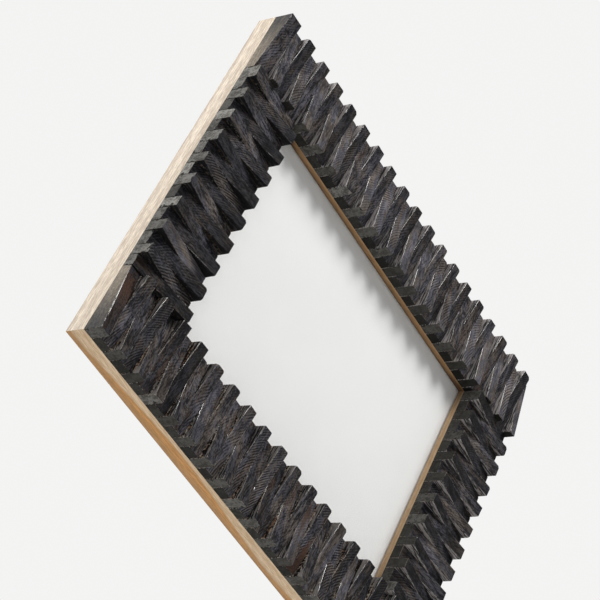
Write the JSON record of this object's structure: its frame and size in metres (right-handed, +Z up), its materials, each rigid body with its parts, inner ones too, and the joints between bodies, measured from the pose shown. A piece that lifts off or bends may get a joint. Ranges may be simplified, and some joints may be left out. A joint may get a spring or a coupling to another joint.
{
  "type": "picture frame",
  "caption": "Landscape picture frame of pale mitred rails faced with blackened wedge sticks, with glazing, white board, turn buttons and ring hangers.",
  "frame": {"origin": "centre of the frame in the plane of the wall, which the back faces of the bumpers touch", "axes": "+Z up, +X to the right seen from the front, +Y out of the back into the wall; the picture faces -Y"},
  "size_m": [0.575, 0.054, 0.452],
  "materials": {
    "pale_timber": "oiled straight-grained ash or oak",
    "blackened_timber": "sawn, charred and brushed",
    "clear_glazing": "clear",
    "white_board": "matt",
    "foam_board": "matt",
    "backing_board": "smooth fibreboard",
    "dowel_timber": "fluted beech",
    "button_brass": "satin",
    "zinc_steel": "zinc plated",
    "bumper_rubber": "matt"
  },
  "bodies": {
    "frame": {"bottom_rail": "pale_timber", "top_rail": "pale_timber", "left_rail": "pale_timber", "right_rail": "pale_timber", "bottom_sticks_1": "blackened_timber", "bottom_sticks_2": "blackened_timber", "bottom_sticks_3": "blackened_timber", "bottom_sticks_4": "blackened_timber", "bottom_sticks_5": "blackened_timber", "bottom_sticks_6": "blackened_timber", "bottom_sticks_7": "blackened_timber", "bottom_sticks_8": "blackened_timber", "bottom_sticks_9": "blackened_timber", "bottom_sticks_10": "blackened_timber", "top_sticks_1": "blackened_timber", "top_sticks_2": "blackened_timber", "top_sticks_3": "blackened_timber", "top_sticks_4": "blackened_timber", "top_sticks_5": "blackened_timber", "top_sticks_6": "blackened_timber", "top_sticks_7": "blackened_timber", "top_sticks_8": "blackened_timber", "top_sticks_9": "blackened_timber", "top_sticks_10": "blackened_timber", "left_sticks_1": "blackened_timber", "left_sticks_2": "blackened_timber", "left_sticks_3": "blackened_timber", "left_sticks_4": "blackened_timber", "left_sticks_5": "blackened_timber", "right_sticks_1": "blackened_timber", "right_sticks_2": "blackened_timber", "right_sticks_3": "blackened_timber", "right_sticks_4": "blackened_timber", "right_sticks_5": "blackened_timber", "glazing": "clear_glazing", "mount_board": "white_board", "foam_board": "foam_board", "backing_board": "backing_board", "corner_dowels": "dowel_timber", "turn_button_screws": "zinc_steel", "left_strap": "zinc_steel", "right_strap": "zinc_steel", "strap_screws": "zinc_steel", "wall_bumpers": "bumper_rubber"},
    "button_1": {"turn_button_1": "button_brass"},
    "button_2": {"turn_button_2": "button_brass"},
    "button_3": {"turn_button_3": "button_brass"},
    "button_4": {"turn_button_4": "button_brass"},
    "button_5": {"turn_button_5": "button_brass"},
    "button_6": {"turn_button_6": "button_brass"},
    "left_ring": {"left_ring": "zinc_steel"},
    "right_ring": {"right_ring": "zinc_steel"}
  },
  "joints": [
    {"name": "turn_button_1_turn", "type": "hinge", "parent": "frame", "child": "button_1", "pos_m": [-0.1055, -0.0043, -0.1575], "axis": [0, 1, 0], "continuous": true},
    {"name": "turn_button_2_turn", "type": "hinge", "parent": "frame", "child": "button_2", "pos_m": [0.1055, -0.0043, -0.1575], "axis": [0, 1, 0], "continuous": true},
    {"name": "turn_button_3_turn", "type": "hinge", "parent": "frame", "child": "button_3", "pos_m": [0.219, -0.0043, 0], "axis": [0, 1, 0], "continuous": true},
    {"name": "turn_button_4_turn", "type": "hinge", "parent": "frame", "child": "button_4", "pos_m": [0.1055, -0.0043, 0.1575], "axis": [0, 1, 0], "continuous": true},
    {"name": "turn_button_5_turn", "type": "hinge", "parent": "frame", "child": "button_5", "pos_m": [-0.1055, -0.0043, 0.1575], "axis": [0, 1, 0], "continuous": true},
    {"name": "turn_button_6_turn", "type": "hinge", "parent": "frame", "child": "button_6", "pos_m": [-0.219, -0.0043, 0], "axis": [0, 1, 0], "continuous": true},
    {"name": "left_ring_swing", "type": "hinge", "parent": "frame", "child": "left_ring", "pos_m": [-0.24625, -0.0028, 0.12], "axis": [1, 0, 0], "range_deg": [0, 180]},
    {"name": "right_ring_swing", "type": "hinge", "parent": "frame", "child": "right_ring", "pos_m": [0.24625, -0.0028, 0.12], "axis": [1, 0, 0], "range_deg": [0, 180]}
  ]
}
